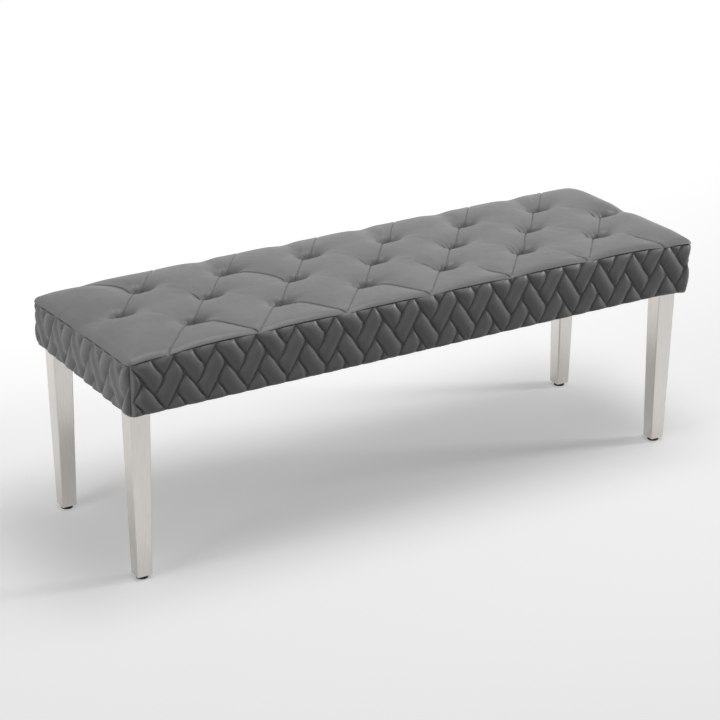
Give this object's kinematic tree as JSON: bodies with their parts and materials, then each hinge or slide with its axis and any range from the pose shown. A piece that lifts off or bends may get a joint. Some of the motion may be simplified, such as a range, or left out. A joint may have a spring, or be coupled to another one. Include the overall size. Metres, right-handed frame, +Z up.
{
  "type": "dining bench",
  "caption": "Backless dining bench with a diamond-tufted leather seat, herringbone-quilted sides and tapered square steel legs on screw-in levelling feet.",
  "frame": {"origin": "on the floor under the middle of the seat", "axes": "+X along the bench, +Y from front to back, +Z up"},
  "size_m": [1.31, 0.44, 0.4905],
  "materials": {
    "top_leather": "grey coated leather, satin, fine grain",
    "band_leather": "grey coated leather, quilted over padding",
    "leg_steel": "brushed along the leg",
    "plate_steel": "mill finish",
    "zinc_steel": "bright zinc",
    "black_nylon": "matt moulded",
    "frame_timber": "planed pine",
    "plywood": "sanded plywood",
    "foam": "cut foam",
    "dust_cloth": "non-woven cloth",
    "tie_twine": "waxed twine"
  },
  "bodies": {
    "root": {"front_rail": "frame_timber", "back_rail": "frame_timber", "left_rail": "frame_timber", "right_rail": "frame_timber", "left_brace": "frame_timber", "right_brace": "frame_timber", "corner_block_front_left": "frame_timber", "leg_front_left": "leg_steel", "leg_plate_front_left": "plate_steel", "leg_plug_front_left": "black_nylon", "corner_block_front_right": "frame_timber", "leg_front_right": "leg_steel", "leg_plate_front_right": "plate_steel", "leg_plug_front_right": "black_nylon", "corner_block_back_left": "frame_timber", "leg_back_left": "leg_steel", "leg_plate_back_left": "plate_steel", "leg_plug_back_left": "black_nylon", "corner_block_back_right": "frame_timber", "leg_back_right": "leg_steel", "leg_plate_back_right": "plate_steel", "leg_plug_back_right": "black_nylon", "deck_panel": "plywood", "seat_foam": "foam", "dust_cover": "dust_cloth", "tufted_top": "top_leather", "front_band": "band_leather", "back_band": "band_leather", "left_band": "band_leather", "right_band": "band_leather", "tuft_ties": "tie_twine", "tuft_washers": "zinc_steel", "frame_screws": "zinc_steel", "deck_screws": "zinc_steel", "leg_bolts": "zinc_steel", "leg_washers": "zinc_steel", "insert_nuts": "zinc_steel"},
    "foot_pad_front_left": {"foot_pad_front_left": "black_nylon"},
    "foot_stud_front_left": {"foot_stud_front_left": "zinc_steel"},
    "foot_pad_front_right": {"foot_pad_front_right": "black_nylon"},
    "foot_stud_front_right": {"foot_stud_front_right": "zinc_steel"},
    "foot_pad_back_left": {"foot_pad_back_left": "black_nylon"},
    "foot_stud_back_left": {"foot_stud_back_left": "zinc_steel"},
    "foot_pad_back_right": {"foot_pad_back_right": "black_nylon"},
    "foot_stud_back_right": {"foot_stud_back_right": "zinc_steel"}
  },
  "joints": [
    {"name": "foot_slide_front_left", "type": "slide", "parent": "root", "child": "foot_pad_front_left", "axis": [0, 0, -1], "range_m": [0, 0.012]},
    {"name": "foot_turn_front_left", "type": "hinge", "parent": "foot_pad_front_left", "child": "foot_stud_front_left", "pos_m": [-0.6215, -0.1755, 0.0045], "axis": [0, 0, -1], "range_deg": [0, 3456]},
    {"name": "foot_slide_front_right", "type": "slide", "parent": "root", "child": "foot_pad_front_right", "axis": [0, 0, -1], "range_m": [0, 0.012]},
    {"name": "foot_turn_front_right", "type": "hinge", "parent": "foot_pad_front_right", "child": "foot_stud_front_right", "pos_m": [0.6215, -0.1755, 0.0045], "axis": [0, 0, -1], "range_deg": [0, 3456]},
    {"name": "foot_slide_back_left", "type": "slide", "parent": "root", "child": "foot_pad_back_left", "axis": [0, 0, -1], "range_m": [0, 0.012]},
    {"name": "foot_turn_back_left", "type": "hinge", "parent": "foot_pad_back_left", "child": "foot_stud_back_left", "pos_m": [-0.6215, 0.1755, 0.0045], "axis": [0, 0, -1], "range_deg": [0, 3456]},
    {"name": "foot_slide_back_right", "type": "slide", "parent": "root", "child": "foot_pad_back_right", "axis": [0, 0, -1], "range_m": [0, 0.012]},
    {"name": "foot_turn_back_right", "type": "hinge", "parent": "foot_pad_back_right", "child": "foot_stud_back_right", "pos_m": [0.6215, 0.1755, 0.0045], "axis": [0, 0, -1], "range_deg": [0, 3456]}
  ],
  "couplings": [
    {"joint": "foot_slide_front_left", "follows": "foot_turn_front_left", "m_per_rad": 0.00019894},
    {"joint": "foot_slide_front_right", "follows": "foot_turn_front_right", "m_per_rad": 0.00019894},
    {"joint": "foot_slide_back_left", "follows": "foot_turn_back_left", "m_per_rad": 0.00019894},
    {"joint": "foot_slide_back_right", "follows": "foot_turn_back_right", "m_per_rad": 0.00019894}
  ]
}
